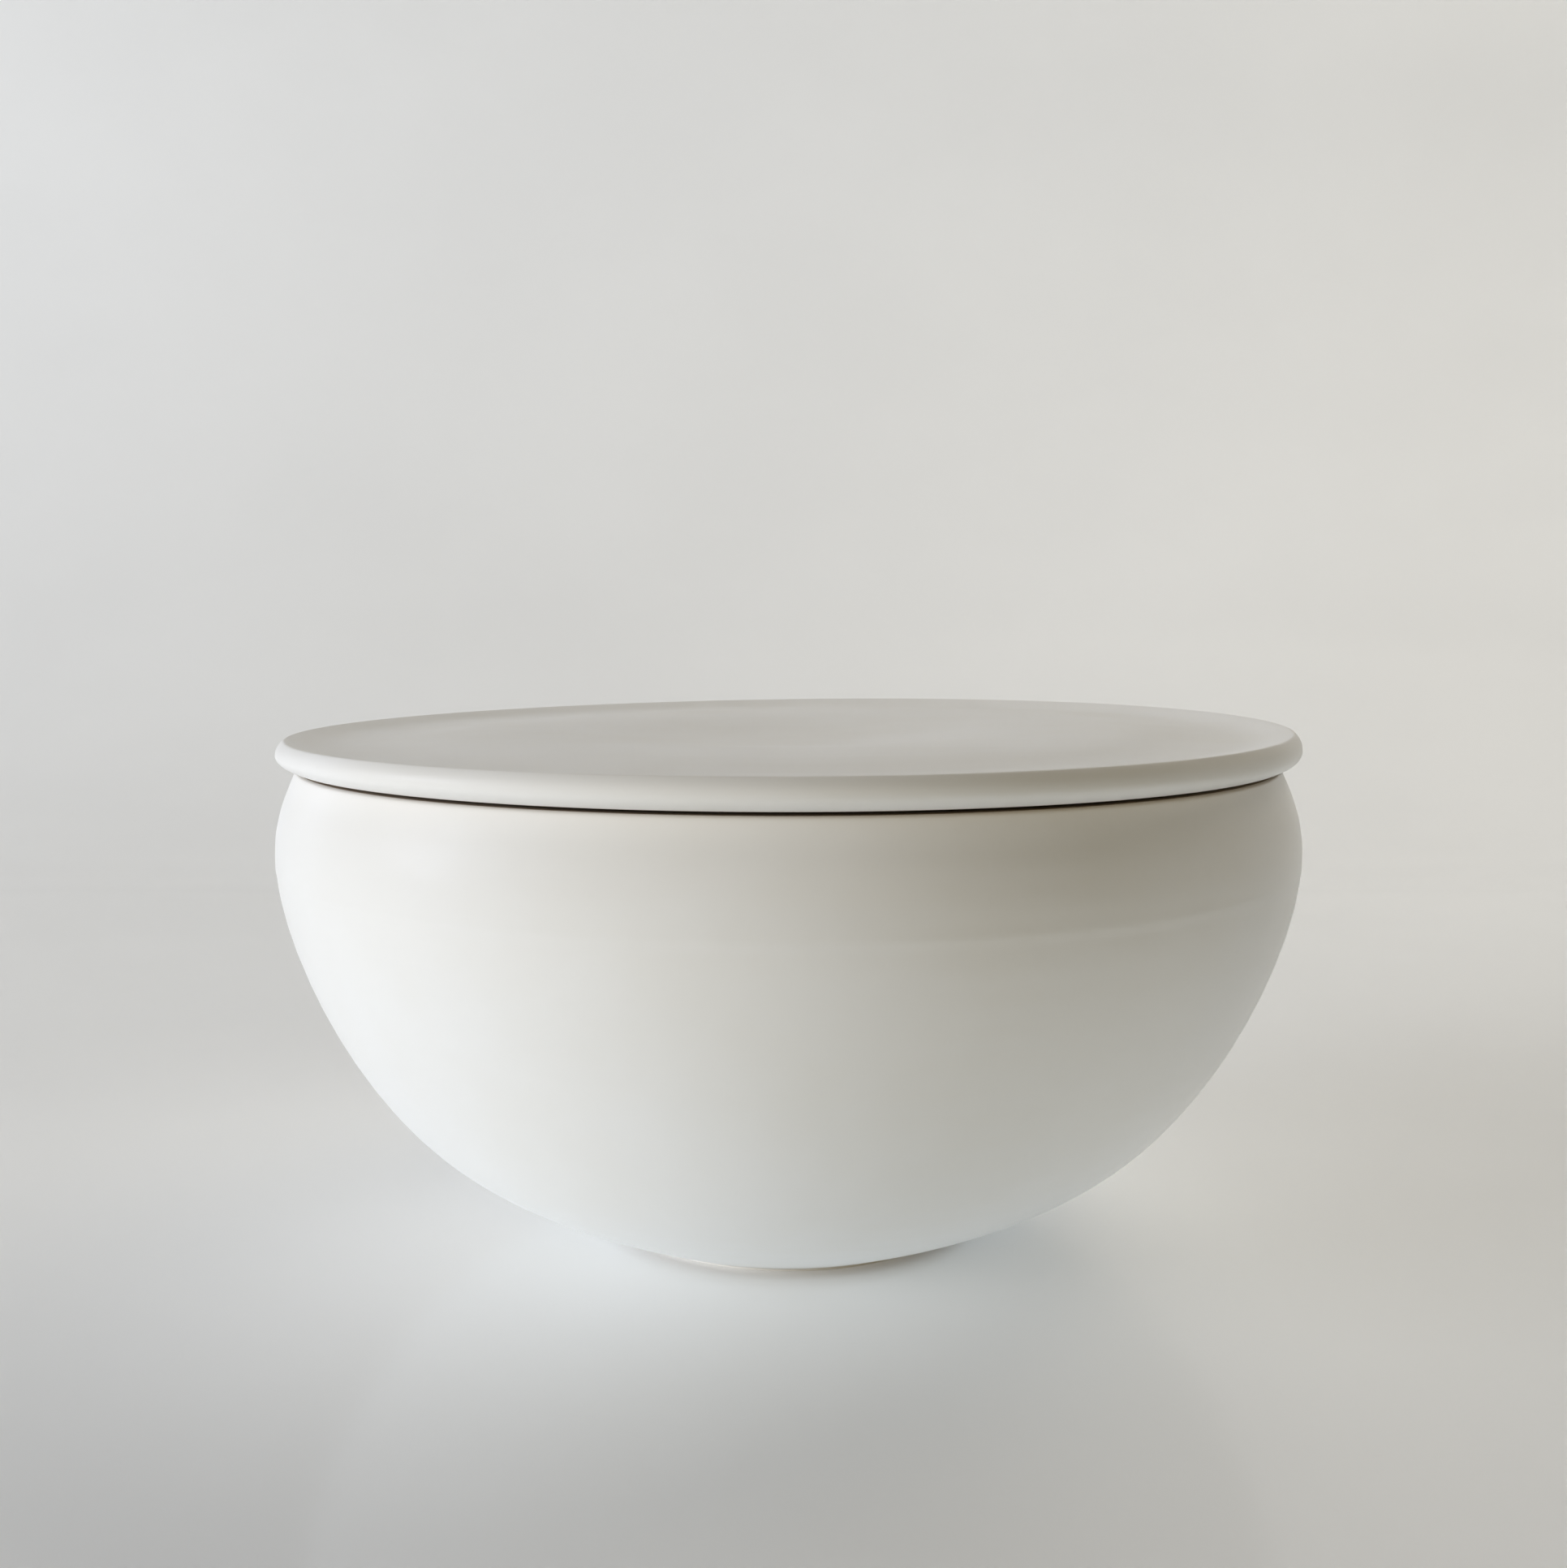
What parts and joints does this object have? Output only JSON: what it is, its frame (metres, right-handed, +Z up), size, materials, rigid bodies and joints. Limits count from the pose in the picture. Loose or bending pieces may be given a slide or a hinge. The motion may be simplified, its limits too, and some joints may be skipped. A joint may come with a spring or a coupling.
{
  "type": "lidded bowl",
  "caption": "Round white ceramic bowl with a full belly, drawn-in shoulder and small foot, closed by a loose flat dished lid that overhangs the rim and lifts straight off.",
  "frame": {"origin": "middle of the foot, on the surface that the bowl stands on", "axes": "+Z up along the bowl's axis of revolution, X and Y level and alike"},
  "size_m": [0.2208, 0.2208, 0.1106],
  "materials": {
    "bowl_glaze": "satin",
    "lid_glaze": "satin"
  },
  "bodies": {
    "bowl": {"bowl": "bowl_glaze"},
    "lid": {"lid": "lid_glaze"}
  },
  "joints": [
    {"name": "lid_lift", "type": "slide", "parent": "bowl", "child": "lid", "axis": [0, 0, 1], "range_m": [0, 0.12]}
  ]
}
